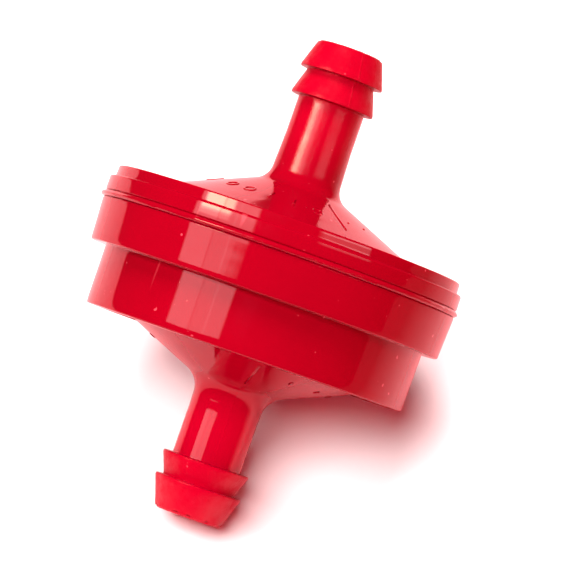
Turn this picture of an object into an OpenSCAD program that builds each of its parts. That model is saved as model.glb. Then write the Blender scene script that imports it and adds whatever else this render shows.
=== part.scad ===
// Inline fuel filter for a small engine. Two moulded shells are welded together
// around a flat screen, and each shell ends in a spout with two hose barbs.
// Z is the axis of the filter and the inlet is at the top. The origin is on the
// axis, halfway between the tips of the two spouts. Lengths are in millimetres.

/* [Body] */
// Length from spout tip to spout tip
length = 47.2; // [46:0.1:52]
// Height of the welded joint above the middle of the filter
joint_z = 2.7; // [2.4:0.1:3.2]
// Thickness of the moulded walls
wall = 1.5; // [1.3:0.1:1.7]
// Slope of the conical end walls, in degrees
cone_slope = 23; // [20:1:25]
// How far each rim stands past the foot of its end wall
rim_depth = 1.5; // [1:0.1:2]

/* [Inlet shell] */
// Diameter of the raised rim
rim_d = 34.5; // [33.9:0.1:34.9]
// Height of the raised rim above the flange
rim_h = 1.1; // [0.8:0.05:1.6]
// Thickness of the flange under the rim
flange_h = 1.55; // [1.3:0.05:2]
// Draft of the rim, in degrees
rim_draft = 1.25; // [0:0.25:2]

/* [Outlet shell] */
// Diameter of the skirt and of the flange that it meets
skirt_d = 35.45; // [35.1:0.05:35.7]
// Height of the skirt
skirt_h = 4.3; // [3.8:0.05:4.6]
// Draft of the skirt, in degrees
skirt_draft = 3; // [0:0.25:4]
// Diameter of the cup below the skirt
cup_d = 31.95; // [31.5:0.05:32.3]
// Height of the cup below the skirt
cup_h = 5.9; // [5.5:0.1:6.5]
// Draft of the cup, in degrees
cup_draft = 0.5; // [0:0.25:1.5]

/* [Weld bead] */
// Diameter over the bead
bead_d = 36; // [35.8:0.05:36.4]
// Thickness of the bead
bead_h = 0.6; // [0.4:0.05:0.7]

/* [Inlet spout] */
// Diameter of both barbs
inlet_barb_d = 8.2; // [8:0.04:8.4]
// Diameter of the tip
inlet_tip_d = 6.4; // [6.2:0.05:6.8]
// Diameter of the neck between the barbs
inlet_neck_d = 6.65; // [6.5:0.05:7.1]
// Diameter of the stem under the barbs
inlet_stem_d = 6.6; // [6.3:0.05:6.8]
// Length of the straight part of the stem, before it widens towards the end wall
inlet_stem_l = 3.8; // [2:0.1:5]
// Diameter of the stem at the end wall
inlet_foot_d = 6.95; // [6.8:0.05:7.2]
// Distance from the tip to the back of the first barb
inlet_tip_l = 2.85; // [2.6:0.05:3.4]
// Distance from the first barb to the second
inlet_pitch = 2.7; // [2.4:0.1:3]
// Radius of the fillet between the stem and the end wall
inlet_fillet = 1.8; // [0.8:0.1:2.4]

/* [Outlet spout] */
// Diameter of both barbs
outlet_barb_d = 8.52; // [8.4:0.04:8.8]
// Diameter of the tip
outlet_tip_d = 6.55; // [6.3:0.05:6.9]
// Diameter of the neck between the barbs
outlet_neck_d = 7.05; // [6.9:0.05:7.4]
// Diameter of the stem under the barbs
outlet_stem_d = 6.8; // [6.5:0.05:6.85]
// Length of the straight part of the stem, before it widens towards the end wall
outlet_stem_l = 5; // [2:0.1:6]
// Diameter of the stem at the end wall
outlet_foot_d = 6.95; // [6.9:0.05:7.2]
// Distance from the tip to the back of the first barb
outlet_tip_l = 3.15; // [2.7:0.05:3.6]
// Distance from the first barb to the second
outlet_pitch = 2.3; // [2.1:0.1:2.7]
// Radius of the fillet between the stem and the end wall
outlet_fillet = 2.2; // [1:0.1:2.6]

/* [Passage] */
// Diameter of the fuel passage through each spout
bore_d = 4; // [3.4:0.1:4.4]
// Width of the cylindrical land on each barb, which the hose grips
land = 0.25; // [0.15:0.05:0.4]

/* [Screen] */
// Thickness of the screen's moulded frame
frame_h = 0.9; // [0.7:0.1:1.1]
// Radial width of the frame's ring
frame_w = 2; // [1.8:0.1:3]
// Number of spokes that hold the mesh up
spokes = 6; // [4:1:8]
// Width of a spoke
spoke_w = 0.9; // [0.6:0.1:1.4]
// Diameter of the hub where the spokes meet
hub_d = 5; // [4:0.5:7]
// Thickness of the mesh
mesh_h = 0.15; // [0.1:0.05:0.2]

/* [Raised marks] */
// Height of the marks above the end walls
mark_h = 0.08; // [0.06:0.02:0.2]
// Width of the strokes
mark_w = 0.18; // [0.14:0.02:0.3]
// Radius of the circle on which the marks of the inlet shell stand
inlet_mark_r = 8.2; // [7.8:0.1:9]
// Length of the inlet shell's short bars
inlet_bar_l = 1.6; // [1:0.1:2]
// Radius of the circle on which the marks of the outlet shell stand
outlet_mark_r = 8.9; // [8.2:0.1:9.2]
// Length of the outlet shell's short bars
outlet_bar_l = 0.6; // [0.4:0.1:1.2]
// Number of places for a mark around each end wall, one of which has the straight line
places = 44; // [22:2:44]

/* [Hidden] */
$fn = 96;

// Directions in a half-section
OUT = [1, 0];
UP = [0, 1];

HOUSING = "#d0021b";
SCREEN = "#e9e4d4";

half_l = length / 2;
slope = tan(cone_slope);
edge_r = 0.2;
chamfer = 0.12;
bore_chamfer = 0.35;
overshoot = 1;

// Marks in the order in which they repeat around an end wall
NONE = 0;
BAR = 1;
CIRCLE = 2;
DOT = 3;
INLET_MARKS = [DOT, NONE, DOT, NONE, NONE, NONE, NONE, BAR, NONE, NONE, NONE,
               CIRCLE, NONE, CIRCLE, NONE, BAR, NONE, BAR, DOT, CIRCLE, NONE, NONE];
OUTLET_MARKS = [NONE, NONE, BAR, NONE, NONE, BAR, NONE, NONE, NONE, BAR, NONE,
                NONE, NONE, NONE, NONE, NONE, NONE, NONE, NONE, NONE, NONE, NONE];

// Stack of levels along the axis
flange_z = joint_z + bead_h;
rim_z = flange_z + flange_h;
rim_top_z = rim_z + rim_h;
skirt_bottom_z = joint_z - skirt_h;
cup_bottom_z = skirt_bottom_z - cup_h;
ledge_z = skirt_bottom_z + wall;
frame_top_z = ledge_z + frame_h;
mesh_z = ledge_z + (frame_h - mesh_h) / 2;

// Radii of the body
skirt_r = skirt_d / 2;
cup_r = cup_d / 2;
rim_r = rim_d / 2;
chamber_r = cup_r - wall;
socket_r = skirt_r - wall;
tongue_r = socket_r - 0.05;
rim_top_r = rim_r - rim_h * tan(rim_draft);
skirt_low_r = skirt_r - skirt_h * tan(skirt_draft);
cup_low_r = cup_r - cup_h * tan(cup_draft);
inlet_rim_r = rim_top_r - wall;
outlet_rim_r = cup_low_r - wall;

// Points on the end walls, measured outwards from the middle of the filter
inlet_wall_z = rim_top_z - rim_depth;
outlet_wall_z = -cup_bottom_z - rim_depth;
wall_along_z = wall / cos(cone_slope);

// Height of an end wall's outer face at radius r, from the point where it meets its rim
function end_wall_z(r, rim_r, wall_z) = wall_z + (rim_r - r) * slope;

// Outline of a spout from its tip to the end of its straight stem, pointing up
function spout_points(barb_r, tip_r, neck_r, stem_r, tip_l, pitch, stem_l) =
    let (first_z = half_l - tip_l, second_z = first_z - pitch) [
        [0, half_l],
        [tip_r, half_l],
        [barb_r, first_z + land],
        [barb_r, first_z],
        [neck_r, first_z],
        [barb_r, second_z + land],
        [barb_r, second_z],
        [stem_r, second_z],
        [stem_r, second_z - stem_l]
    ];

// Region between the corner at p and a circle of radius r that touches its two sides, which
// run along u and v. Added to an inside corner it is a fillet; cut from an outer one, a round.
module corner_web(p, u, v, r) {
    half_angle = acos(u * v) / 2;
    middle = (u + v) / norm(u + v);
    centre = p + middle * r / sin(half_angle);
    tangent = r / tan(half_angle);
    difference() {
        polygon([p - middle * r / 4, p + u * tangent, centre, p + v * tangent]);
        translate(centre) circle(r);
    }
}

// Cuts a chamfer of side c at p
module chamfer_corner(p, c) {
    translate(p) rotate(45) square(c * sqrt(2), center = true);
}

// Half-section of a spout with its conical end wall, pointing up
module spout_section(points, foot_r, fillet_r, rim_r, wall_z) {
    foot = [foot_r, end_wall_z(foot_r, rim_r, wall_z)];
    stem_end = points[len(points) - 1];
    stem_dir = (stem_end - foot) / norm(stem_end - foot);
    wall_dir = [cos(cone_slope), -sin(cone_slope)];
    difference() {
        union() {
            polygon(concat(points, [foot, [rim_r, wall_z], [0, wall_z]]));
            corner_web(foot, stem_dir, wall_dir, fillet_r);
        }
        chamfer_corner([points[1][0], half_l], edge_r);
    }
}

// Half-section of the passage and the chamber behind one end wall, pointing up
module cavity_section(rim_r, wall_z, open_z) {
    bore_r = bore_d / 2;
    roof_z = wall_z - wall_along_z;
    polygon([
        [0, half_l + overshoot],
        [bore_r, half_l + overshoot],
        [bore_r, end_wall_z(bore_r, rim_r, roof_z)],
        [chamber_r, end_wall_z(chamber_r, rim_r, roof_z)],
        [chamber_r, open_z],
        [0, open_z]
    ]);
    chamfer_corner([bore_r, half_l], bore_chamfer);
}

// Thin straight line along +X
module straight_line() {
    start_r = 5.6;
    end_r = 10.1;
    translate([start_r, -mark_w / 2]) square([end_r - start_r, mark_w]);
}

// Marks around a circle of radius r, in a pattern that repeats. It leaves a gap for the
// straight line at its start.
module mark_ring(pattern, r, bar_l) {
    circle_r = 0.6;
    step = 360 / places;
    for (i = [1 : places - 1]) {
        kind = pattern[(i - 1) % len(pattern)];
        rotate(i * step)
            translate([r, 0]) {
                if (kind == BAR) square([bar_l, mark_w], center = true);
                if (kind == DOT) circle(mark_w * 0.6);
                if (kind == CIRCLE)
                    difference() {
                        circle(circle_r);
                        circle(circle_r - mark_w);
                    }
            }
    }
}

// Flat marks given as children, raised on the end wall and turned to the given angle,
// pointing up
module raised_marks(angle, rim_r, wall_z) {
    inner_r = 5;
    outer_r = 10.5;
    depth = mark_h + wall / 3;
    intersection() {
        rotate_extrude()
            translate([0, mark_h])
                polygon([
                    [inner_r, end_wall_z(inner_r, rim_r, wall_z)],
                    [outer_r, end_wall_z(outer_r, rim_r, wall_z)],
                    [outer_r, end_wall_z(outer_r, rim_r, wall_z) - depth],
                    [inner_r, end_wall_z(inner_r, rim_r, wall_z) - depth]
                ]);
        rotate(angle) linear_extrude(half_l) {
            straight_line();
            children();
        }
    }
}

// Half-section of the inlet shell: spout, end wall, rim, flange and tongue
module inlet_section() {
    points = spout_points(inlet_barb_d / 2, inlet_tip_d / 2, inlet_neck_d / 2,
                          inlet_stem_d / 2, inlet_tip_l, inlet_pitch, inlet_stem_l);
    difference() {
        union() {
            spout_section(points, inlet_foot_d / 2, inlet_fillet, inlet_rim_r, inlet_wall_z);
            polygon([
                [0, inlet_wall_z], [inlet_rim_r, inlet_wall_z],
                [inlet_rim_r, rim_top_z], [rim_top_r, rim_top_z],
                [rim_r, rim_z], [skirt_r, rim_z],
                [skirt_r, flange_z], [tongue_r, flange_z],
                [tongue_r, frame_top_z], [0, frame_top_z]
            ]);
        }
        cavity_section(inlet_rim_r, inlet_wall_z, frame_top_z - overshoot);
        corner_web([rim_top_r, rim_top_z], -OUT, [sin(rim_draft), -cos(rim_draft)], edge_r);
        corner_web([inlet_rim_r, rim_top_z], OUT, -UP, edge_r);
        corner_web([skirt_r, rim_z], -OUT, -UP, edge_r);
        chamfer_corner([skirt_r, flange_z], chamfer);
    }
}

// Half-section of the outlet shell, with its spout pointing down
module outlet_section() {
    points = spout_points(outlet_barb_d / 2, outlet_tip_d / 2, outlet_neck_d / 2,
                          outlet_stem_d / 2, outlet_tip_l, outlet_pitch, outlet_stem_l);
    difference() {
        union() {
            mirror([0, 1])
                spout_section(points, outlet_foot_d / 2, outlet_fillet, outlet_rim_r, outlet_wall_z);
            polygon([
                [0, -outlet_wall_z], [outlet_rim_r, -outlet_wall_z],
                [outlet_rim_r, cup_bottom_z], [cup_low_r, cup_bottom_z],
                [cup_r, skirt_bottom_z], [skirt_low_r, skirt_bottom_z],
                [skirt_r, joint_z], [socket_r, joint_z],
                [socket_r, ledge_z], [0, ledge_z]
            ]);
        }
        mirror([0, 1]) cavity_section(outlet_rim_r, outlet_wall_z, -ledge_z - overshoot);
        corner_web([skirt_low_r, skirt_bottom_z], -OUT, [sin(skirt_draft), cos(skirt_draft)], edge_r);
        chamfer_corner([cup_low_r, cup_bottom_z], chamfer);
        chamfer_corner([skirt_r, joint_z], chamfer);
    }
}

// Upper shell with the inlet spout; its tongue holds the screen down
module inlet_shell() {
    line_angle = -59;
    color(HOUSING) {
        rotate_extrude() inlet_section();
        raised_marks(line_angle, inlet_rim_r, inlet_wall_z)
            mark_ring(INLET_MARKS, inlet_mark_r, inlet_bar_l);
    }
}

// Lower shell with the outlet spout; its ledge carries the screen
module outlet_shell() {
    line_angle = -80;
    color(HOUSING) {
        rotate_extrude() outlet_section();
        mirror([0, 0, 1])
            raised_marks(line_angle, outlet_rim_r, outlet_wall_z)
                mark_ring(OUTLET_MARKS, outlet_mark_r, outlet_bar_l);
    }
}

// Ring of melted plastic that joins the shells and stands proud of them
module weld_bead() {
    nose_r = bead_h / 2;
    color(HOUSING)
        rotate_extrude() {
            translate([tongue_r, joint_z]) square([bead_d / 2 - nose_r - tongue_r, bead_h]);
            translate([bead_d / 2 - nose_r, joint_z + nose_r]) circle(nose_r);
        }
}

// Moulded ring with spokes and a hub; the mesh sits in its groove, on the spokes
module screen_frame() {
    frame_r = tongue_r;
    color(SCREEN)
        difference() {
            translate([0, 0, ledge_z]) {
                difference() {
                    cylinder(r = frame_r, h = frame_h);
                    translate([0, 0, -overshoot])
                        cylinder(r = frame_r - frame_w, h = frame_h + 2 * overshoot);
                }
                cylinder(d = hub_d, h = mesh_z - ledge_z);
                for (i = [0 : spokes - 1])
                    rotate(i * 360 / spokes)
                        translate([0, -spoke_w / 2, 0])
                            cube([frame_r - frame_w / 2, spoke_w, mesh_z - ledge_z]);
            }
            screen_mesh();
        }
}

// Fine woven mesh, as the flat disc that it fills
module screen_mesh() {
    color("white")
        translate([0, 0, mesh_z])
            cylinder(r = tongue_r - frame_w / 2, h = mesh_h);
}

inlet_shell();
outlet_shell();
weld_bead();
screen_frame();
screen_mesh();
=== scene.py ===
import math
import random

import bmesh
import bpy
import numpy as np
from mathutils import Matrix, Vector


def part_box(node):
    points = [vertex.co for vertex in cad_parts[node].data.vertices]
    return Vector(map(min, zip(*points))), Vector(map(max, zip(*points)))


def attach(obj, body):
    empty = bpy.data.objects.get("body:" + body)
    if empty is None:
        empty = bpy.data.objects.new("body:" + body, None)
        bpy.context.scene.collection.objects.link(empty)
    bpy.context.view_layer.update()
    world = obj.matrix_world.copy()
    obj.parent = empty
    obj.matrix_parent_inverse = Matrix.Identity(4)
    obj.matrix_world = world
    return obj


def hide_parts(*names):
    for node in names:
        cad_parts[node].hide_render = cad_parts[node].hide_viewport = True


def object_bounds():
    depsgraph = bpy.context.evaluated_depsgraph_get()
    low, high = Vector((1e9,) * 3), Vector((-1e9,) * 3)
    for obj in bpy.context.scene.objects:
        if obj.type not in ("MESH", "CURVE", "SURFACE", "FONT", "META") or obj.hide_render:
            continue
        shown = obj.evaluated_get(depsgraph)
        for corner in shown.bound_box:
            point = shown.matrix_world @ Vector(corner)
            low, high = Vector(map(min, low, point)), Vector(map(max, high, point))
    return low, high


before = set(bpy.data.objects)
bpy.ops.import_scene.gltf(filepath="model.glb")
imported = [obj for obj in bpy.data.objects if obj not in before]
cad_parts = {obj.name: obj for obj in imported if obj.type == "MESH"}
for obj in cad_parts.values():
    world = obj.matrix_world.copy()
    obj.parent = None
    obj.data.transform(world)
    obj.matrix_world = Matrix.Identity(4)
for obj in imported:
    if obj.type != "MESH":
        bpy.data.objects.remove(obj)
CAD_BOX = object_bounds()
MM = 0.001


# ---------------------------------------------------------------- camera

CAMERA_DISTANCE = 0.400
CAMERA_DROP = 0.0098
CAMERA_ROLL = math.radians(19.3)
PICTURE_WIDTH = 0.05499
AIM = Vector((0.00183, 0.0, 0.00018))


def make_camera():
    """A long lens, a little below the middle of the filter, rolled so that the filter leans right."""
    data = bpy.data.cameras.new("camera")
    data.sensor_width = 36
    camera = bpy.data.objects.new("camera", data)
    bpy.context.scene.collection.objects.link(camera)
    place = Vector((AIM.x, -CAMERA_DISTANCE, -CAMERA_DROP))
    back = (place - AIM).normalized()
    upright = Vector((-math.sin(CAMERA_ROLL), 0, math.cos(CAMERA_ROLL)))
    right = upright.cross(back).normalized()
    up = back.cross(right)
    turn = Matrix((right, up, back)).transposed()
    camera.matrix_world = Matrix.Translation(place) @ turn.to_4x4()
    data.lens = data.sensor_width * (place - AIM).length / PICTURE_WIDTH
    data.clip_start = 0.01
    data.clip_end = 5
    bpy.context.scene.camera = camera


# ---------------------------------------------------------------- half-sections of the CAD shells

def section_points(node, azimuth_deg):
    """The CAD node's outline as (radius, z) in mm, on the half-plane at that angle from +X."""
    turn = Matrix.Rotation(-math.radians(azimuth_deg), 4, "Z")
    bm = bmesh.new()
    bm.from_mesh(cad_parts[node].data)
    bm.transform(turn)
    bmesh.ops.remove_doubles(bm, verts=bm.verts, dist=1e-7)
    geometry = bm.verts[:] + bm.edges[:] + bm.faces[:]
    bmesh.ops.bisect_plane(bm, geom=geometry, dist=1e-7, plane_co=(0, 0, 0), plane_no=(0, 1, 0))
    bmesh.ops.remove_doubles(bm, verts=bm.verts, dist=1e-7)
    near_plane = 1e-6
    follows = {}
    for edge in bm.edges:
        a, b = edge.verts
        if all(abs(v.co.y) < near_plane and v.co.x > near_plane for v in (a, b)):
            follows.setdefault(a.index, []).append(b.index)
            follows.setdefault(b.index, []).append(a.index)
    bm.verts.ensure_lookup_table()
    start = max(follows, key=lambda i: abs(bm.verts[i].co.z))
    loop = [start]
    previous = None
    here = start
    while True:
        onward = [i for i in follows[here] if i != previous]
        previous, here = here, onward[0]
        if here == start:
            break
        loop.append(here)
    points = np.array([(bm.verts[i].co.x, bm.verts[i].co.z) for i in loop]) / MM
    bm.free()
    return counter_clockwise(without_straight_points(points))


def counter_clockwise(points):
    """The same outline, turned round if it runs clockwise."""
    after = np.roll(points, -1, axis=0)
    area = np.sum(points[:, 0] * after[:, 1] - after[:, 0] * points[:, 1])
    return points if area > 0 else points[::-1]


def without_straight_points(points, tolerance=0.0015):
    """Drops the points that lie on the line between their neighbours."""
    kept = [np.array(p) for p in points]
    changed = True
    while changed:
        changed = False
        for i in range(len(kept)):
            a = kept[i - 1]
            p = kept[i]
            b = kept[(i + 1) % len(kept)]
            span = b - a
            length = np.hypot(*span)
            height = abs(span[0] * (p - a)[1] - span[1] * (p - a)[0]) / max(length, 1e-9)
            if height < tolerance:
                kept.pop(i)
                changed = True
                break
    return np.array(kept)


def with_round_corners(points, radius, sharp_deg=25, steps=5):
    """Rounds each sharp corner with a small arc."""
    out = []
    for i in range(len(points)):
        a = points[i - 1]
        p = points[i]
        b = points[(i + 1) % len(points)]
        u = (a - p) / np.hypot(*(a - p))
        v = (b - p) / np.hypot(*(b - p))
        turn = math.pi - math.acos(max(-1.0, min(1.0, float(u @ v))))
        if math.degrees(turn) < sharp_deg:
            out.append(p)
            continue
        reach = min(radius * math.tan(turn / 2), 0.42 * np.hypot(*(a - p)), 0.42 * np.hypot(*(b - p)))
        start = p + u * reach
        end = p + v * reach
        for k in range(steps + 1):
            t = k / steps
            out.append((1 - t) ** 2 * start + 2 * t * (1 - t) * p + t * t * end)
    return np.array(out)


def with_even_steps(points, longest):
    """Adds points so that no step along the outline is longer than that."""
    out = []
    for i in range(len(points)):
        a = points[i]
        b = points[(i + 1) % len(points)]
        n = max(1, math.ceil(np.hypot(*(b - a)) / longest))
        out.extend(a + (b - a) * k / n for k in range(n))
    return np.array(out)


def outline_normals(points):
    """Outward normals of a counter-clockwise outline, as (radial, axial)."""
    along = np.roll(points, -1, axis=0) - np.roll(points, 1, axis=0)
    along /= np.hypot(along[:, 0], along[:, 1])[:, None]
    return np.stack([along[:, 1], -along[:, 0]], axis=1)


# ---------------------------------------------------------------- turned bodies

def angle_steps(coarse, fine_at_deg):
    """Angles around the axis, closer together beside each parting line."""
    angles = set(round(360 * i / coarse, 4) for i in range(coarse))
    for centre in fine_at_deg:
        angles |= set(round((centre + offset) % 360, 4) for offset in np.arange(-3, 3.01, 0.25))
    return np.radians(sorted(angles))


def ripple(p, seed, count, shortest, longest):
    """Smooth random unevenness at the points p, in mm, between about -1 and 1."""
    rng = random.Random(seed)
    total = np.zeros(p.shape[:-1])
    for _ in range(count):
        d = Vector((rng.gauss(0, 1), rng.gauss(0, 1), rng.gauss(0, 1))).normalized()
        wave = 2 * math.pi / rng.uniform(shortest, longest)
        total += np.sin(p @ np.array(d) * wave + rng.uniform(0, 2 * math.pi))
    return total / math.sqrt(count / 2) / 1.6


def bell(x, width):
    """1 at x = 0, falling off evenly on both sides."""
    return np.exp(-0.5 * (x / width) ** 2)


def smooth_step(x, low, high):
    """Rises from 0 at low to 1 at high, for whole arrays."""
    t = np.clip((x - low) / (high - low), 0, 1)
    return t * t * (3 - 2 * t)


BOX_MARGIN = 0.004


def within_box(p):
    """Keeps the points, in mm, inside the box of the CAD model with a hair to spare."""
    low = np.array(CAD_BOX[0]) / MM + BOX_MARGIN
    high = np.array(CAD_BOX[1]) / MM - BOX_MARGIN
    return np.clip(p, low, high)


def turned_mesh(name, outline, angles, offset, masks=None):
    """Turns the closed outline about Z.

    offset(p, r, z, angle, normals) says how far points move along their normals, in mm.
    masks names values for the material: each is a function of (p, r, z, angle).
    """
    normals = outline_normals(outline)
    c = np.cos(angles)[:, None]
    s = np.sin(angles)[:, None]
    r = np.broadcast_to(outline[:, 0][None, :], (len(angles), len(outline)))
    z = np.broadcast_to(outline[:, 1][None, :], r.shape)
    p = np.stack([r * c, r * s, z], axis=-1)
    angle = np.broadcast_to(angles[:, None], r.shape)
    d = offset(p, r, z, angle, normals)
    n = np.stack([normals[:, 0] * c, normals[:, 0] * s, normals[:, 1] + 0 * c], axis=-1)
    p = within_box(p + n * d[..., None])
    rows, columns = r.shape
    index = np.arange(rows * columns).reshape(rows, columns)
    right = np.roll(index, -1, axis=0)
    quads = np.stack([index, right, np.roll(right, -1, axis=1), np.roll(index, -1, axis=1)], axis=-1)
    mesh = bpy.data.meshes.new(name)
    mesh.from_pydata((p.reshape(-1, 3) * MM).tolist(), [], quads.reshape(-1, 4).tolist())
    mesh.shade_smooth()
    for label, values in (masks or {}).items():
        attribute = mesh.attributes.new(label, "FLOAT", "POINT")
        attribute.data.foreach_set("value", values(p, r, z, angle).astype(np.float32).ravel())
    mesh.update()
    return add_object(name, mesh)


def add_object(name, mesh):
    """Links a new object with that mesh to the scene."""
    obj = bpy.data.objects.new(name, mesh)
    bpy.context.scene.collection.objects.link(obj)
    return obj


def stand_for(obj, node, material):
    """Gives the piece its material and body, and puts it in place of a CAD node if one is named."""
    obj.data.materials.clear()
    obj.data.materials.append(material)
    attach(obj, "root")
    if node:
        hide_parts(node)
    return obj


def arc_from(angle, centre_deg, r):
    """Distance in mm around the axis from the azimuth centre_deg."""
    turned = (angle - math.radians(centre_deg) + math.pi) % (2 * math.pi) - math.pi
    return turned * r


# ---------------------------------------------------------------- the two shells

# Sizes are in mm and angles in degrees. Depth is the distance below the middle, towards the outlet.
INLET_PARTING = -67.0
OUTLET_PARTING = -80.0
TURN_STEPS = 240
OUTLINE_STEP = 0.38
EDGE_RADIUS = 0.09

INLET_BARBS_LENGTH = 5.7
OUTLET_BARBS_LENGTH = 5.45
SPOUT_REACH = 5

INLET_BODY_TOP = 7
INLET_STEP_Z = 10.6
INLET_STEP_REACH = 4.2
RIM_REACH = 16
RIM_FOOT_Z = 4.3
RIM_LEAN = 0.014

OUTLET_BODY_DEPTH = 8
SKIRT_REACH = 17
CUP_REACH = 15
CUP_CURVE_DEPTH = 6.5
CUP_CURVE = 0.05
CONE_DEPTH = 6
CONE_REACH = 14
TIP_WALL_REACH = 2.9

# Waves: how many, then their shortest and longest length.
BODY_WAVE = (14, 5, 12)
STEM_WAVE = (14, 2, 5)
BARB_WAVE = (30, 0.7, 1.8)
TORN_WAVE = (12, 0.8, 2.2)
STEM_UNEVEN = 0.004
BARB_UNEVEN = 0.009


def shell_outline(node, azimuth_deg):
    """The shell's half-section with softened corners, in short steps."""
    points = section_points(node, azimuth_deg)
    points = with_round_corners(points, EDGE_RADIUS)
    return with_even_steps(points, OUTLINE_STEP)


def spout_tip(node, sign):
    """How far out the spout's tip is."""
    low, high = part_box(node)
    return (high.z if sign > 0 else -low.z) / MM


def barbs_start(node, sign):
    """How far out the barbs begin, where the stem meets the lower barb."""
    return spout_tip(node, sign) - (INLET_BARBS_LENGTH if sign > 0 else OUTLET_BARBS_LENGTH)


def outside(r, z, normals):
    """1 on the outer faces and 0 inside the bore and the chamber."""
    facing = normals[:, 0][None, :] * r + 0.35 * normals[:, 1][None, :] * z
    return (facing > 0).astype(float)


def inlet_offset(p, r, z, angle, normals):
    """Slight waves everywhere, parting-line ridges on the barbs, a step on the stem and a leaning rim."""
    outer = outside(r, z, normals)
    on_barbs = outer * (z > barbs_start("inlet_shell", 1) - 0.05)
    on_body = outer * (z < INLET_BODY_TOP)
    seam = arc_from(angle, INLET_PARTING, r)
    far_seam = arc_from(angle, INLET_PARTING + 180, r)
    ridge = bell(seam, 0.06) + bell(far_seam, 0.06)
    mismatch = smooth_step(seam, -0.05, 0.05) * (seam < 6)
    d = on_body * 0.006 * ripple(p, 11, *BODY_WAVE)
    d += outer * (1 - on_body) * STEM_UNEVEN * ripple(p, 12, *STEM_WAVE)
    d += on_barbs * BARB_UNEVEN * ripple(p, 13, *BARB_WAVE)
    d += on_barbs * (0.045 * ridge - 0.02 * mismatch)
    d += outer * 0.015 * bell(z - INLET_STEP_Z, 0.06) * (r < INLET_STEP_REACH)
    d -= outer * (r > RIM_REACH) * RIM_LEAN * np.maximum(z - RIM_FOOT_Z, 0)
    return d


def outlet_offset(p, r, z, angle, normals):
    """Slight waves, a cup that curves in at its foot, ridges on the cone and a torn tip."""
    depth = -z
    tip = spout_tip("outlet_shell", -1)
    barbs = barbs_start("outlet_shell", -1)
    outer = outside(r, z, normals)
    on_barbs = outer * (depth > barbs - 0.05)
    on_body = outer * (depth < OUTLET_BODY_DEPTH)
    on_cone = outer * (depth > CONE_DEPTH) * (depth < barbs - 0.3) * (r < CONE_REACH)
    on_skirt = on_body * (r > SKIRT_REACH)
    seam = arc_from(angle, OUTLET_PARTING, r)
    far_seam = arc_from(angle, OUTLET_PARTING + 180, r)
    ridge = bell(seam, 0.05) + bell(far_seam, 0.05)
    d = on_body * (0.005 - 0.0038 * on_skirt) * ripple(p, 21, *BODY_WAVE)
    d -= on_body * (r > CUP_REACH) * CUP_CURVE * np.maximum(depth - CUP_CURVE_DEPTH, 0) ** 2
    d += outer * (1 - on_body) * STEM_UNEVEN * ripple(p, 22, *STEM_WAVE)
    d += on_barbs * BARB_UNEVEN * ripple(p, 23, *BARB_WAVE)
    d += on_cone * 0.014 * ridge
    torn = smooth_step(ripple(p * np.array([1, 1, 0]), 24, *TORN_WAVE), -0.1, 0.7)
    near_tip = smooth_step(depth, tip - 0.4, tip - 0.1)
    d -= outer * 0.1 * torn * near_tip * (r > TIP_WALL_REACH)
    return d


def satin_mask(sign, barbs, on_stem):
    """1 on the barbs, on_stem on the stem beyond INLET_STEP_Z, and 0 elsewhere."""
    def values(p, r, z, angle):
        height = sign * z
        stem = on_stem * smooth_step(height, INLET_STEP_Z - 0.15, INLET_STEP_Z)
        on_barbs = smooth_step(height, barbs - 0.08, barbs - 0.02)
        return np.maximum(stem, on_barbs) * (r < SPOUT_REACH)
    return values


def painted_spout_light_mask(sign, low, high, most):
    """Rises along the spout, whose slender wall lets light through; this is painted light, a brighter red
    standing in for the light on the spout.
    """
    def values(p, r, z, angle):
        return most * smooth_step(sign * z, low, high) * (r < SPOUT_REACH)
    return values


def make_inlet_housing(material):
    """The upper half of the housing with its spout."""
    outline = shell_outline("inlet_shell", 0)
    angles = angle_steps(TURN_STEPS, (INLET_PARTING, INLET_PARTING + 180))
    barbs = barbs_start("inlet_shell", 1)
    # Painted light: the second mask gives the inlet's stem and barbs a brighter red for light on them.
    masks = {"satin": satin_mask(1, barbs, 0.38), "painted_spout_light": painted_spout_light_mask(1, 11, 16, 0.4)}
    obj = turned_mesh("inlet_housing", outline, angles, inlet_offset, masks)
    return stand_for(obj, "inlet_shell", material)


def make_outlet_housing(material):
    """The lower half of the housing with its spout, cut at 10 degrees to miss the marks."""
    outline = shell_outline("outlet_shell", 10)
    angles = angle_steps(TURN_STEPS, (OUTLET_PARTING, OUTLET_PARTING + 180))
    barbs = barbs_start("outlet_shell", -1)
    # Painted light: the second mask gives the lower spout a brighter red for light bounced up onto it from
    # the table.
    masks = {"satin": satin_mask(-1, barbs, 0), "painted_spout_light": painted_spout_light_mask(-1, 9.5, 15, 1.0)}
    obj = turned_mesh("outlet_housing", outline, angles, outlet_offset, masks)
    return stand_for(obj, "outlet_shell", material)


# ---------------------------------------------------------------- the weld bead

BEAD_DEPTH = 1.5
BEAD_NOSE_RADIUS = 0.24
BEAD_NOSE_HEIGHT = 0.27
BEAD_NOSE_FROM = -38
BEAD_NOSE_TURN = 83
BEAD_NOSE_STEPS = 9


def bead_outline():
    """A rounded ridge low on the bead, with a groove between it and the flange above."""
    low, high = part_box("weld_bead")
    bottom = low.z / MM
    top = high.z / MM
    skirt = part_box("outlet_shell")[1].x / MM
    inner = skirt - BEAD_DEPTH
    centre_r = high.x / MM - BEAD_NOSE_RADIUS
    centre_z = bottom + BEAD_NOSE_HEIGHT
    points = [(inner, bottom), (skirt - 0.12, bottom), (skirt + 0.02, bottom + 0.01)]
    for k in range(BEAD_NOSE_STEPS + 1):
        a = math.radians(BEAD_NOSE_FROM + BEAD_NOSE_TURN * k / BEAD_NOSE_STEPS)
        points.append((centre_r + BEAD_NOSE_RADIUS * math.cos(a), centre_z + BEAD_NOSE_RADIUS * math.sin(a)))
    points += [(skirt + 0.03, top - 0.02), (skirt - 0.05, top), (inner, top)]
    return with_even_steps(counter_clockwise(np.array(points)), 0.3)


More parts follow.
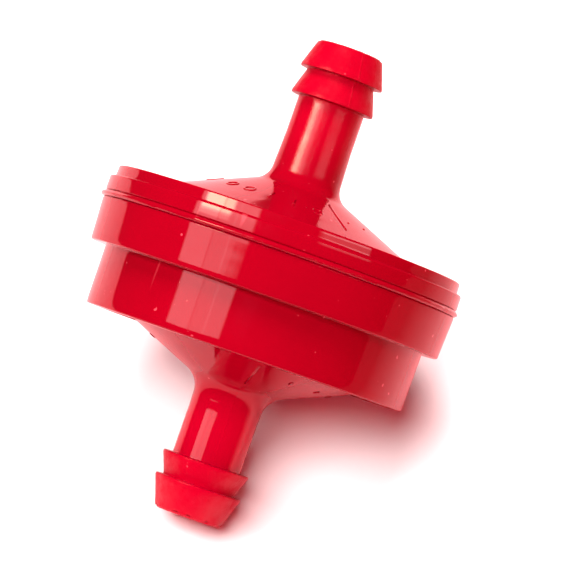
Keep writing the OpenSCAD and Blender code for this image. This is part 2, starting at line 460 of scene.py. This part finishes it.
def bead_offset(p, r, z, angle, normals):
    """The melt stands out unevenly, always inside the CAD ring."""
    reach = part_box("outlet_shell")[1].x / MM
    proud = smooth_step(r, reach - 0.02, reach + 0.12)
    around = p * np.array([1, 1, 0])
    slow = ripple(around, 31, 10, 4, 12)
    quick = ripple(around, 32, 24, 0.7, 2.2)
    return -proud * (0.05 + 0.035 * slow + 0.014 * quick)


def make_weld_ridge(material):
    """The ring of melted plastic between the two halves."""
    obj = turned_mesh("weld_ridge", bead_outline(), angle_steps(720, ()), bead_offset)
    return stand_for(obj, "weld_bead", material)


# ---------------------------------------------------------------- the raised marks

MARK_HEIGHTS = (0.05, 0.12)
MARK_RADII = (5.2, 10.6)
MARK_ROOT = 0.12
MARK_BEVEL = 0.03


def cone_line(points):
    """The two ends of the outer cone's long straight side in a half-section."""
    best = None
    for i in range(len(points)):
        a = points[i]
        b = points[(i + 1) % len(points)]
        span = b - a
        slope = abs(span[1]) / max(abs(span[0]), 1e-9)
        far = abs(a[1] + b[1]) / 2
        if 0.3 < slope < 0.6 and abs(span[0]) > 4 and (best is None or far > best[0]):
            best = (far, a, b)
    return best[1], best[2]


def make_marks(name, node, azimuth_deg, material):
    """The CAD node's own raised marks, with softened edges, rooted a little in the cone."""
    a, b = cone_line(section_points(node, azimuth_deg))
    slope = (b[1] - a[1]) / (b[0] - a[0])
    sign = 1 if a[1] > 0 else -1

    def above(co):
        """Height in mm over the cone."""
        r = math.hypot(co.x, co.y) / MM
        return sign * (co.z / MM - (a[1] + slope * (r - a[0])))

    bm = bmesh.new()
    bm.from_mesh(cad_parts[node].data)
    bmesh.ops.remove_doubles(bm, verts=bm.verts, dist=1e-7)
    others = []
    for face in bm.faces:
        heights = [above(v.co) for v in face.verts]
        radii = [math.hypot(v.co.x, v.co.y) / MM for v in face.verts]
        raised = MARK_HEIGHTS[0] < max(heights) < MARK_HEIGHTS[1] and min(heights) > -MARK_HEIGHTS[0]
        on_cone = MARK_RADII[0] < min(radii) and max(radii) < MARK_RADII[1]
        if not (raised and on_cone):
            others.append(face)
    bmesh.ops.delete(bm, geom=others, context="FACES")
    rim = [e for e in bm.edges if e.is_boundary]
    sunk = bmesh.ops.extrude_edge_only(bm, edges=rim)["geom"]
    for v in sunk:
        if isinstance(v, bmesh.types.BMVert):
            v.co.z -= sign * MARK_ROOT * MM
    bmesh.ops.dissolve_limit(bm, angle_limit=math.radians(4), verts=bm.verts, edges=bm.edges)
    bmesh.ops.recalc_face_normals(bm, faces=bm.faces)
    crisp = [e for e in bm.edges if len(e.link_faces) == 2 and e.calc_face_angle(0) > math.radians(40)]
    bmesh.ops.bevel(bm, geom=crisp, offset=MARK_BEVEL * MM, segments=2, affect="EDGES", clamp_overlap=True)
    bmesh.ops.triangulate(bm, faces=[f for f in bm.faces if len(f.verts) > 4])
    mesh = bpy.data.meshes.new(name)
    bm.to_mesh(mesh)
    bm.free()
    mesh.shade_smooth()
    obj = add_object(name, mesh)
    return stand_for(obj, None, material)


# ---------------------------------------------------------------- the screen

WIRE_PITCH = 0.55 * MM
WIRE_RADIUS = 0.04 * MM
WIRE_SIDES = 5
WIRE_EDGE_GAP = 0.05 * MM


def add_wire(verts, faces, i, lengthwise, reach, middle, swing):
    """One wire, a row of small rings that rises over every second crossing wire and dips under the rest."""
    side = i * WIRE_PITCH
    half = math.sqrt(max(reach ** 2 - side ** 2, 0))
    n = int(half / WIRE_PITCH * 2)
    if n < 2:
        return
    first = len(verts)
    for k in range(-n, n + 1):
        along = k * WIRE_PITCH / 2
        phase = math.pi * along / WIRE_PITCH + math.pi * (i + lengthwise)
        height = middle + swing * math.cos(phase)
        for j in range(WIRE_SIDES):
            a = 2 * math.pi * j / WIRE_SIDES
            across = side + WIRE_RADIUS * math.cos(a)
            x, y = (across, along) if lengthwise else (along, across)
            verts.append((x, y, height + WIRE_RADIUS * math.sin(a)))
    for k in range(2 * n):
        for j in range(WIRE_SIDES):
            a = first + k * WIRE_SIDES + j
            b = first + k * WIRE_SIDES + (j + 1) % WIRE_SIDES
            faces.append((a, b, b + WIRE_SIDES, a + WIRE_SIDES))
    faces.append(tuple(first + j for j in reversed(range(WIRE_SIDES))))
    faces.append(tuple(first + 2 * n * WIRE_SIDES + j for j in range(WIRE_SIDES)))


def make_woven_mesh(material):
    """Two crossing sets of round wires that pass over and under each other."""
    low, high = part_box("screen_mesh")
    middle = (low.z + high.z) / 2
    reach = high.x - WIRE_EDGE_GAP
    swing = (high.z - low.z) / 2 - WIRE_RADIUS
    verts = []
    faces = []
    count = int(reach / WIRE_PITCH)
    for lengthwise in (0, 1):
        for i in range(-count, count + 1):
            add_wire(verts, faces, i, lengthwise, reach, middle, swing)
    mesh = bpy.data.meshes.new("woven_screen")
    mesh.from_pydata(verts, [], faces)
    bm = bmesh.new()
    bm.from_mesh(mesh)
    bmesh.ops.recalc_face_normals(bm, faces=bm.faces)
    bm.to_mesh(mesh)
    bm.free()
    mesh.shade_smooth()
    return stand_for(add_object("woven_screen", mesh), "screen_mesh", material)


def dress_screen_frame(material):
    """The CAD ring with spokes keeps its shape; its edges are softened."""
    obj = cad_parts["screen_frame"]
    obj.data.materials.clear()
    obj.data.materials.append(material)
    soften = obj.modifiers.new("soft_edges", "BEVEL")
    soften.width = 0.08 * MM
    soften.segments = 2
    soften.limit_method = "ANGLE"
    soften.angle_limit = math.radians(50)


# ---------------------------------------------------------------- materials

class Nodes:
    """A new material, with short ways to add and join its shader nodes."""

    def __init__(self, name):
        self.material = bpy.data.materials.new(name)
        self.material.use_nodes = True
        self.tree = self.material.node_tree
        self.shader = self.tree.nodes["Principled BSDF"]
        self.place = self.add("ShaderNodeTexCoord").outputs["Object"]

    def add(self, kind, **settings):
        """A new node. Each setting is one of its sockets or properties."""
        node = self.tree.nodes.new(kind)
        for key, value in settings.items():
            if key in node.inputs:
                node.inputs[key].default_value = value
            else:
                setattr(node, key, value)
        return node

    def join(self, output, node, socket):
        """Links an output to a node's socket."""
        self.tree.links.new(output, node.inputs[socket])

    def noise(self, scale, detail, roughness, place=None):
        """Cloudy noise in object space, or at another place."""
        node = self.add("ShaderNodeTexNoise")
        node.inputs["Scale"].default_value = scale
        node.inputs["Detail"].default_value = detail
        node.inputs["Roughness"].default_value = roughness
        self.join(place or self.place, node, "Vector")
        return node.outputs["Fac"]

    def stretched(self, scale, turn):
        """Object space, scaled and turned."""
        node = self.add("ShaderNodeMapping")
        node.inputs["Scale"].default_value = scale
        node.inputs["Rotation"].default_value = turn
        self.join(self.place, node, "Vector")
        return node.outputs["Vector"]

    def spread(self, value, low, high, to_low, to_high):
        """Maps low to high onto to_low to to_high."""
        node = self.add("ShaderNodeMapRange")
        node.inputs["From Min"].default_value = low
        node.inputs["From Max"].default_value = high
        node.inputs["To Min"].default_value = to_low
        node.inputs["To Max"].default_value = to_high
        self.join(value, node, "Value")
        return node.outputs["Result"]

    def maths(self, operation, a, b):
        """One arithmetic step on two numbers or outputs."""
        node = self.add("ShaderNodeMath", operation=operation)
        for i, x in enumerate((a, b)):
            if isinstance(x, (int, float)):
                node.inputs[i].default_value = x
            else:
                self.tree.links.new(x, node.inputs[i])
        return node.outputs[0]

    def blend(self, share, a, b):
        """A colour that goes from a to b as share goes from 0 to 1."""
        node = self.add("ShaderNodeMix", data_type="RGBA")
        self.tree.links.new(share, node.inputs["Factor"])
        for socket, x in ((node.inputs[6], a), (node.inputs[7], b)):
            if isinstance(x, tuple):
                socket.default_value = (*x, 1)
            else:
                self.tree.links.new(x, socket)
        return node.outputs[2]

    def blend_value(self, share, a, b):
        """A number that goes from a to b as share goes from 0 to 1."""
        return self.maths("ADD", self.maths("MULTIPLY", self.maths("SUBTRACT", 1, share), a),
                          self.maths("MULTIPLY", share, b))

    def bump(self, height, strength, distance, before=None):
        """A normal from a height field, on top of another one if given."""
        node = self.add("ShaderNodeBump")
        node.inputs["Strength"].default_value = strength
        node.inputs["Distance"].default_value = distance
        self.join(height, node, "Height")
        if before is not None:
            self.join(before, node, "Normal")
        return node.outputs["Normal"]


def red_nylon():
    """Glossy moulded red plastic, satin where the satin mask says so, with fine scratches and dust, and a
    brighter red painted along the spouts as light on them.
    """
    n = Nodes("red_nylon")
    satin = n.add("ShaderNodeAttribute", attribute_name="satin").outputs["Fac"]
    clouds = n.noise(160, 3, 0.55)
    deep = n.blend(clouds, (0.225, 0.0, 0.006), (0.27, 0.0, 0.0075))
    light = n.blend(n.noise(900, 3, 0.6), (0.24, 0.0, 0.007), (0.32, 0.001, 0.011))
    colour = n.blend(satin, deep, light)
    painted_spout_light = n.add("ShaderNodeAttribute", attribute_name="painted_spout_light").outputs["Fac"]
    # Painted light: a brighter red along the spouts stands in for light bounced up from the table and let
    # through their slender walls.
    colour = n.blend(painted_spout_light, colour, (0.40, 0.0, 0.014))
    dust_field = n.noise(1500, 1, 0.4)
    dust = n.spread(dust_field, 0.775, 0.80, 0, 0.5)
    scratch_field = n.noise(420, 2, 0.6, n.stretched((1, 1, 0.12), (0.5, 0.3, 0.7)))
    scratch = n.spread(scratch_field, 0.735, 0.76, 0, 0.25)
    worn = n.maths("MAXIMUM", dust, scratch)
    colour = n.blend(worn, colour, (0.75, 0.10, 0.13))
    n.join(colour, n.shader, "Base Color")
    smudge = n.spread(n.noise(240, 4, 0.6), 0.35, 0.7, 0.035, 0.075)
    grain = n.spread(n.noise(2200, 3, 0.6), 0.3, 0.7, 0.28, 0.38)
    n.join(n.blend_value(satin, smudge, grain), n.shader, "Roughness")
    smeared = n.spread(n.noise(380, 3, 0.65), 0.42, 0.66, 0.08, 0.42)
    n.join(n.blend_value(satin, 0.5, smeared), n.shader, "Specular IOR Level")
    peel = n.bump(n.noise(600, 1, 0.4), 0.02, 0.00006)
    fine = n.bump(n.maths("MULTIPLY", satin, n.noise(5200, 3, 0.6)), 0.5, 0.00006, peel)
    lines = n.bump(worn, 0.3, 0.00002, fine)
    n.join(lines, n.shader, "Normal")
    n.shader.inputs["IOR"].default_value = 1.53
    n.shader.inputs["Specular Tint"].default_value = (1.0, 0.66, 0.68, 1)
    return n.material


def natural_nylon():
    """Matte off-white moulded plastic with a faint grain."""
    n = Nodes("natural_nylon")
    colour = n.blend(n.noise(220, 3, 0.6), (0.66, 0.60, 0.46), (0.76, 0.71, 0.58))
    n.join(colour, n.shader, "Base Color")
    n.join(n.spread(n.noise(1800, 3, 0.6), 0.3, 0.7, 0.5, 0.66), n.shader, "Roughness")
    n.join(n.bump(n.noise(2600, 3, 0.6), 0.3, 0.00004), n.shader, "Normal")
    return n.material


def woven_nylon():
    """Pale thread, a little darker in patches, with a fine grain."""
    n = Nodes("woven_nylon")
    colour = n.blend(n.noise(300, 3, 0.6), (0.74, 0.72, 0.64), (0.86, 0.85, 0.80))
    n.join(colour, n.shader, "Base Color")
    n.join(n.spread(n.noise(3000, 2, 0.5), 0.3, 0.7, 0.38, 0.55), n.shader, "Roughness")
    n.join(n.bump(n.noise(9000, 2, 0.5), 0.3, 0.00001), n.shader, "Normal")
    return n.material


# ---------------------------------------------------------------- table and light

TABLE_NORMAL = Vector((-0.2155, -0.758, 0.6154)).normalized()
TABLE_RADIUS = 0.19
TABLE_RINGS = 40
TABLE_SPOKES = 96
TABLE_FADE = (0.03, 0.08)


def direction(azimuth_deg, elevation_deg):
    """Unit vector towards that azimuth, positive to the right of the camera's side, and that elevation."""
    a = math.radians(azimuth_deg)
    e = math.radians(elevation_deg)
    return Vector((math.sin(a) * math.cos(e), -math.cos(a) * math.cos(e), math.sin(e)))


def lowest_along(normal):
    """How far the object reaches against that direction."""
    return min(v.co.dot(normal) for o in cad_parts.values() for v in o.data.vertices)


def make_table():
    """The plain pale table that the filter lies on: a flat sheet without thickness, seen from its upper side
    only.
    """
    bm = bmesh.new()
    centre = TABLE_NORMAL * lowest_along(TABLE_NORMAL)
    turn = TABLE_NORMAL.to_track_quat("Z", "Y")
    rows = []
    for i in range(1, TABLE_RINGS + 1):
        r = TABLE_RADIUS * i / TABLE_RINGS
        row = []
        for k in range(TABLE_SPOKES):
            a = 2 * math.pi * k / TABLE_SPOKES
            row.append(bm.verts.new(centre + turn @ Vector((r * math.cos(a), r * math.sin(a), 0))))
        rows.append(row)
    hub = bm.verts.new(centre)
    for k in range(TABLE_SPOKES):
        j = (k + 1) % TABLE_SPOKES
        bm.faces.new((hub, rows[0][k], rows[0][j]))
        for i in range(TABLE_RINGS - 1):
            bm.faces.new((rows[i][k], rows[i + 1][k], rows[i + 1][j], rows[i][j]))
    mesh = bpy.data.meshes.new("table")
    bm.to_mesh(mesh)
    bm.free()
    table = add_object("table", mesh)
    mesh.materials.append(table_material(centre))


def table_material(centre):
    """Pale paper that fades out at its rim and to the right. It is painted redder where it shows in the
    filter's gloss, and a faint painted pink glow stands in for red light in the filter's shadow.
    """
    n = Nodes("table_paper")
    mirrored = n.add("ShaderNodeLightPath").outputs["Is Glossy Ray"]
    # Painted reflection: the paper takes a red colour only where the filter's gloss sees it, so its
    # reflection there is painted redder and darker.
    n.join(n.blend(mirrored, (0.86, 0.85, 0.85), (0.80, 0.37, 0.38)), n.shader, "Base Color")
    n.shader.inputs["Roughness"].default_value = 0.9
    n.shader.inputs["Specular IOR Level"].default_value = 0.0
    # Painted light: a faint pink glow on the paper stands in for red light that the plastic casts into its
    # shadow.
    n.shader.inputs["Emission Color"].default_value = (1.0, 0.30, 0.34, 1)
    n.shader.inputs["Emission Strength"].default_value = 0.02
    away = n.add("ShaderNodeVectorMath", operation="DISTANCE")
    n.join(n.place, away, 0)
    away.inputs[1].default_value = centre
    clear = n.add("ShaderNodeBsdfTransparent")
    mix = n.add("ShaderNodeMixShader")
    edge = n.spread(away.outputs["Value"], TABLE_RADIUS * 0.93, TABLE_RADIUS * 0.995, 0, 1)
    across = n.add("ShaderNodeSeparateXYZ")
    n.join(n.place, across, 0)
    fade = n.spread(across.outputs["X"], *TABLE_FADE, 0, 0.8)
    behind = n.add("ShaderNodeNewGeometry").outputs["Backfacing"]
    n.join(n.maths("MAXIMUM", n.maths("MAXIMUM", edge, fade), behind), mix, 0)
    n.join(n.shader.outputs[0], mix, 1)
    n.join(clear.outputs[0], mix, 2)
    n.join(mix.outputs[0], n.tree.nodes["Material Output"], "Surface")
    return n.material


def make_world():
    """White to the camera; a dark room to everything else."""
    world = bpy.data.worlds.new("room")
    bpy.context.scene.world = world
    world.use_nodes = True
    tree = world.node_tree
    tree.nodes.clear()
    white = tree.nodes.new("ShaderNodeBackground")
    white.inputs["Color"].default_value = (1, 1, 1, 1)
    white.inputs["Strength"].default_value = 1.05
    dark = tree.nodes.new("ShaderNodeBackground")
    dark.inputs["Color"].default_value = (1.0, 0.96, 0.95, 1)
    dark.inputs["Strength"].default_value = 0.02
    seen = tree.nodes.new("ShaderNodeLightPath")
    mix = tree.nodes.new("ShaderNodeMixShader")
    out = tree.nodes.new("ShaderNodeOutputWorld")
    tree.links.new(seen.outputs["Is Camera Ray"], mix.inputs[0])
    tree.links.new(dark.outputs[0], mix.inputs[1])
    tree.links.new(white.outputs[0], mix.inputs[2])
    tree.links.new(mix.outputs[0], out.inputs["Surface"])


LAMP_DISTANCE = 0.6
CARD_DISTANCE = 0.45


def add_soft_light(name, azimuth, elevation, width_deg, height_deg, power, colour):
    """A rectangular softbox that lights the scene; its mirror image comes from a window card instead."""
    data = bpy.data.lights.new(name, "AREA")
    data.shape = "RECTANGLE"
    data.size = 2 * LAMP_DISTANCE * math.tan(math.radians(width_deg / 2))
    data.size_y = 2 * LAMP_DISTANCE * math.tan(math.radians(height_deg / 2))
    data.energy = power
    data.color = colour
    light = bpy.data.objects.new(name, data)
    bpy.context.scene.collection.objects.link(light)
    towards = direction(azimuth, elevation)
    facing_in = towards.to_track_quat("Z", "Y").to_matrix().to_4x4()
    light.matrix_world = Matrix.Translation(towards * LAMP_DISTANCE) @ facing_in
    light.visible_glossy = False
    light.visible_camera = False


def add_window_card(name, azimuths, elevations, glow, step):
    """A curved bright card that shows in the gloss only. glow(azimuth, elevation) is its radiance."""
    wide = np.arange(azimuths[0], azimuths[1] + step / 2, step)
    tall = np.arange(elevations[0], elevations[1] + step / 2, step)
    verts = [direction(a, e) * CARD_DISTANCE for e in tall for a in wide]
    n = len(wide)
    faces = [(j * n + i, j * n + i + 1, (j + 1) * n + i + 1, (j + 1) * n + i)
             for j in range(len(tall) - 1) for i in range(n - 1)]
    mesh = bpy.data.meshes.new(name)
    mesh.from_pydata(verts, [], faces)
    for channel in range(3):
        attribute = mesh.attributes.new("glow_" + "rgb"[channel], "FLOAT", "POINT")
        attribute.data.foreach_set("value", [glow(a, e)[channel] for e in tall for a in wide])
    card = add_object(name, mesh)
    nodes = Nodes(name)
    tree = nodes.tree
    colour = nodes.add("ShaderNodeCombineColor")
    for channel in range(3):
        source = nodes.add("ShaderNodeAttribute", attribute_name="glow_" + "rgb"[channel])
        tree.links.new(source.outputs["Fac"], colour.inputs[channel])
    lamp = nodes.add("ShaderNodeEmission")
    tree.links.new(colour.outputs[0], lamp.inputs["Color"])
    tree.links.new(lamp.outputs[0], tree.nodes["Material Output"].inputs["Surface"])
    nodes.material.cycles.emission_sampling = "NONE"
    mesh.materials.append(nodes.material)
    for kind in ("camera", "diffuse", "transmission", "shadow", "volume_scatter"):
        setattr(card, "visible_" + kind, False)


def step_between(x, low, high):
    """Rises from 0 at low to 1 at high, for one number."""
    t = min(max((x - low) / (high - low), 0.0), 1.0)
    return t * t * (3 - 2 * t)


def left_window(azimuth, elevation):
    """The tall window on the left: dim at its foot, hot above, with a dark and a bright bar."""
    inside = step_between(azimuth, -59.5, -58) * (1 - step_between(azimuth, -20.5, -18.5))
    foot = -4.47 + 0.5 * step_between(azimuth, -35, -20) + 0.5 * step_between(-azimuth, 47, 58)
    inside *= step_between(elevation, foot - 0.05, foot + 0.05)
    inside *= 1 - step_between(elevation, 16, 20)
    hot = step_between(elevation, 1.7, 4.3) * step_between(azimuth, -57, -54)
    hot *= 0.06 + 0.94 * (1 - step_between(azimuth, -37, -34))
    level = 3.5 + 18 * hot
    level *= 1 - 0.16 * step_between(azimuth, -42.2, -41.6)
    level *= 1 - 0.45 * math.exp(-((azimuth + 42.2) / 0.5) ** 2)
    level *= 1 + 0.4 * math.exp(-((azimuth + 31.2) / 0.5) ** 2)
    level *= inside
    return level, level * (1 + 0.08 * hot), level * (1 - 0.26 * hot)


def right_window(azimuth, elevation):
    """A weaker window on the right, which starts higher up and is dim at its foot."""
    inside = step_between(azimuth, 18, 24) * (1 - step_between(azimuth, 54.3, 55.0))
    inside *= step_between(elevation, 5.3, 5.5) * (1 - step_between(elevation, 9, 10))
    level = inside * (1.5 + 5 * step_between(elevation, 7.5, 8.5))
    return level, level, 0.97 * level


def make_light():
    """Lamps as azimuth, elevation, width, height (degrees), power (W) and colour, then the window cards."""
    add_soft_light("softbox_key", -23, 9, 44, 20, 6.0, (1.0, 0.99, 0.98))
    add_soft_light("softbox_top", -24, 54, 32, 28, 6.0, (1.0, 0.84, 0.84))
    add_soft_light("fill_left", -112, 8, 50, 50, 1.8, (1.0, 0.15, 0.18))
    add_soft_light("fill_right", 112, 4, 50, 50, 9.5, (1.0, 0.10, 0.13))
    add_soft_light("fill_low", -2, -14, 40, 30, 1.9, (1.0, 0.05, 0.08))
    add_soft_light("fill_back", 180, 15, 60, 50, 4.0, (1.0, 0.98, 0.96))
    add_window_card("window_left", (-61, -17), (-6, 21), left_window, 0.2)
    add_window_card("window_right", (16, 57), (5, 10.5), right_window, 0.4)


# ---------------------------------------------------------------- the scene

make_camera()
make_world()
make_table()
make_light()
RED = red_nylon()
make_inlet_housing(RED)
make_outlet_housing(RED)
make_weld_ridge(RED)
make_marks("inlet_marks", "inlet_shell", 0, RED)
make_marks("outlet_marks", "outlet_shell", 10, RED)
make_woven_mesh(woven_nylon())
dress_screen_frame(natural_nylon())

bpy.context.scene.view_settings.view_transform = "Standard"
bpy.context.scene.cycles.use_denoising = True
